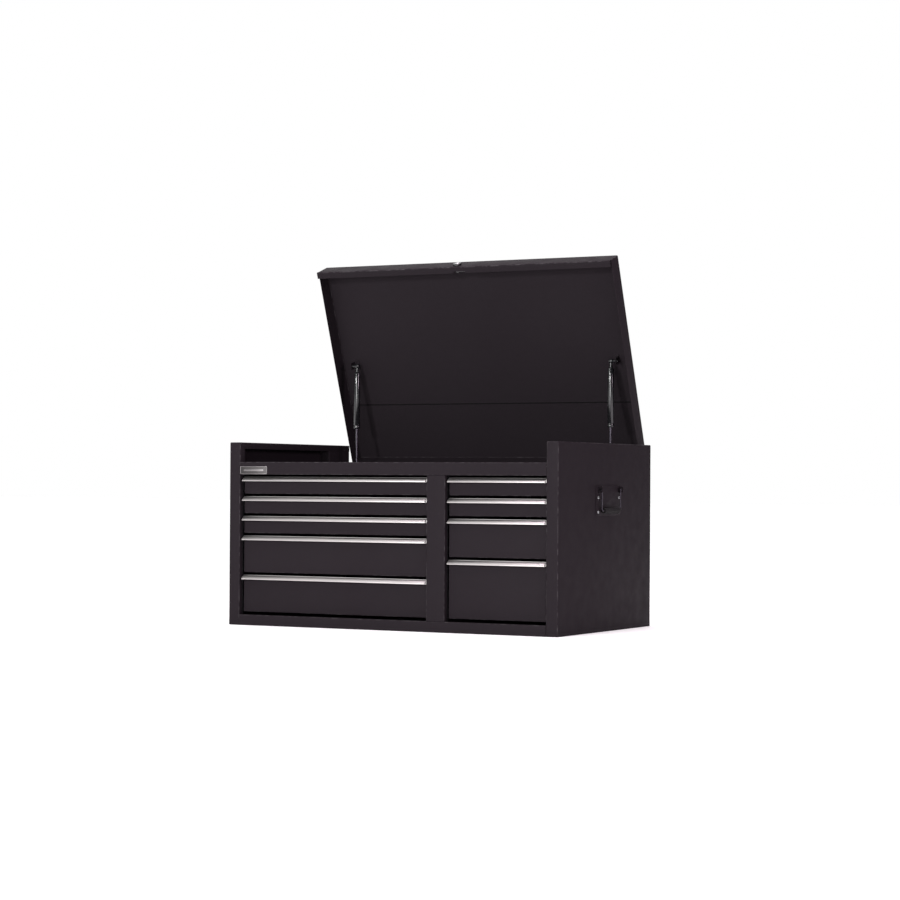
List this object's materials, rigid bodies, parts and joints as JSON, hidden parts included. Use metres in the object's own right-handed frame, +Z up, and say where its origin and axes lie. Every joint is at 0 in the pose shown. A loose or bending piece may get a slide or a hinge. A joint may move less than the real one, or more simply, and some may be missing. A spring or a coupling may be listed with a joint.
{
  "type": "tool chest",
  "caption": "Steel top tool chest with two banks of full-width-pull drawers, a strut-held lid over a tray, a lid lock and side handles.",
  "frame": {"origin": "centre of the case's flat underside, which the chest rests on", "axes": "+X to the right along the front, -Y out of the front where the drawers open, +Z up"},
  "size_m": [1.078, 0.6702, 1.0561],
  "materials": {
    "black_paint": "smooth semi-gloss black powder coat",
    "aluminium": "brushed along its length, clear anodised",
    "zinc": "bright zinc plate",
    "black_steel": "gloss black",
    "chrome": "polished",
    "rubber": "matt black moulded grip"
  },
  "bodies": {
    "case": {"side_panel_left": "black_paint", "rear_upright_left": "black_paint", "handle_plate_left": "black_steel", "strut_lower_bracket_left": "zinc", "side_panel_right": "black_paint", "rear_upright_right": "black_paint", "handle_plate_right": "black_steel", "strut_lower_bracket_right": "zinc", "bottom_panel": "black_paint", "back_panel": "black_paint", "front_header": "black_paint", "centre_partition": "black_paint", "till_floor": "black_paint", "name_plate": "aluminium", "slide_rack_left_bank_left": "zinc", "slide_rack_left_bank_right": "zinc", "slide_rack_right_bank_left": "zinc", "slide_rack_right_bank_right": "zinc", "hinge_leaf_case": "black_paint", "hinge_pin": "zinc"},
    "lid": {"lid_shell": "black_paint", "lid_stiffener": "black_paint", "hinge_leaf_lid": "black_paint", "strut_upper_bracket_left": "zinc", "strut_upper_bracket_right": "zinc"},
    "lock": {"lock_cylinder": "chrome", "lock_cam": "zinc"},
    "strut_rod_left": {"strut_rod_left": "chrome"},
    "strut_tube_left": {"strut_tube_left": "black_steel"},
    "strut_rod_right": {"strut_rod_right": "chrome"},
    "strut_tube_right": {"strut_tube_right": "black_steel"},
    "left_drawer_1": {"left_drawer_1": "black_paint", "left_drawer_1_pull": "aluminium"},
    "left_drawer_2": {"left_drawer_2": "black_paint", "left_drawer_2_pull": "aluminium"},
    "left_drawer_3": {"left_drawer_3": "black_paint", "left_drawer_3_pull": "aluminium"},
    "left_drawer_4": {"left_drawer_4": "black_paint", "left_drawer_4_pull": "aluminium"},
    "left_drawer_5": {"left_drawer_5": "black_paint", "left_drawer_5_pull": "aluminium"},
    "right_drawer_1": {"right_drawer_1": "black_paint", "right_drawer_1_pull": "aluminium"},
    "right_drawer_2": {"right_drawer_2": "black_paint", "right_drawer_2_pull": "aluminium"},
    "right_drawer_3": {"right_drawer_3": "black_paint", "right_drawer_3_pull": "aluminium"},
    "right_drawer_4": {"right_drawer_4": "black_paint", "right_drawer_4_pull": "aluminium"},
    "handle_bail_left": {"handle_bail_left": "rubber"},
    "handle_bail_right": {"handle_bail_right": "rubber"}
  },
  "joints": [
    {"name": "lid_hinge", "type": "hinge", "parent": "case", "child": "lid", "pos_m": [0, 0.3042, 0.461], "axis": [1, 0, 0], "range_deg": [0, 70]},
    {"name": "strut_left_pivot", "type": "hinge", "parent": "case", "child": "strut_rod_left", "pos_m": [-0.4225, 0.241, 0.447], "axis": [1, 0, 0], "range_deg": [0, 77]},
    {"name": "strut_left_slide", "type": "slide", "parent": "strut_rod_left", "child": "strut_tube_left", "axis": [0, 0, 1], "range_m": [-0.068, 0]},
    {"name": "strut_right_pivot", "type": "hinge", "parent": "case", "child": "strut_rod_right", "pos_m": [0.4225, 0.241, 0.447], "axis": [1, 0, 0], "range_deg": [0, 77]},
    {"name": "strut_right_slide", "type": "slide", "parent": "strut_rod_right", "child": "strut_tube_right", "axis": [0, 0, 1], "range_m": [-0.068, 0]},
    {"name": "left_drawer_1_slide", "type": "slide", "parent": "case", "child": "left_drawer_1", "axis": [0, -1, 0], "range_m": [0, 0.42]},
    {"name": "left_drawer_2_slide", "type": "slide", "parent": "case", "child": "left_drawer_2", "axis": [0, -1, 0], "range_m": [0, 0.42]},
    {"name": "left_drawer_3_slide", "type": "slide", "parent": "case", "child": "left_drawer_3", "axis": [0, -1, 0], "range_m": [0, 0.42]},
    {"name": "left_drawer_4_slide", "type": "slide", "parent": "case", "child": "left_drawer_4", "axis": [0, -1, 0], "range_m": [0, 0.42]},
    {"name": "left_drawer_5_slide", "type": "slide", "parent": "case", "child": "left_drawer_5", "axis": [0, -1, 0], "range_m": [0, 0.42]},
    {"name": "right_drawer_1_slide", "type": "slide", "parent": "case", "child": "right_drawer_1", "axis": [0, -1, 0], "range_m": [0, 0.42]},
    {"name": "right_drawer_2_slide", "type": "slide", "parent": "case", "child": "right_drawer_2", "axis": [0, -1, 0], "range_m": [0, 0.42]},
    {"name": "right_drawer_3_slide", "type": "slide", "parent": "case", "child": "right_drawer_3", "axis": [0, -1, 0], "range_m": [0, 0.42]},
    {"name": "right_drawer_4_slide", "type": "slide", "parent": "case", "child": "right_drawer_4", "axis": [0, -1, 0], "range_m": [0, 0.42]},
    {"name": "handle_left_swing", "type": "hinge", "parent": "case", "child": "handle_bail_left", "pos_m": [-0.531, 0.011, 0.392], "axis": [0, 1, 0], "range_deg": [0, 90]},
    {"name": "handle_right_swing", "type": "hinge", "parent": "case", "child": "handle_bail_right", "pos_m": [0.531, 0.011, 0.392], "axis": [0, -1, 0], "range_deg": [0, 90]},
    {"name": "lock_turn", "type": "hinge", "parent": "lid", "child": "lock", "pos_m": [-0.013, 0.1166, 1.0421], "axis": [0, 0.342, -0.9397], "range_deg": [0, 90]}
  ],
  "couplings": [
    {"joint": "strut_left_pivot", "follows": "lid_hinge", "ratio": 1.0945},
    {"joint": "strut_left_slide", "follows": "lid_hinge", "m_per_rad": -0.054804},
    {"joint": "strut_right_pivot", "follows": "lid_hinge", "ratio": 1.0945},
    {"joint": "strut_right_slide", "follows": "lid_hinge", "m_per_rad": -0.054804}
  ]
}
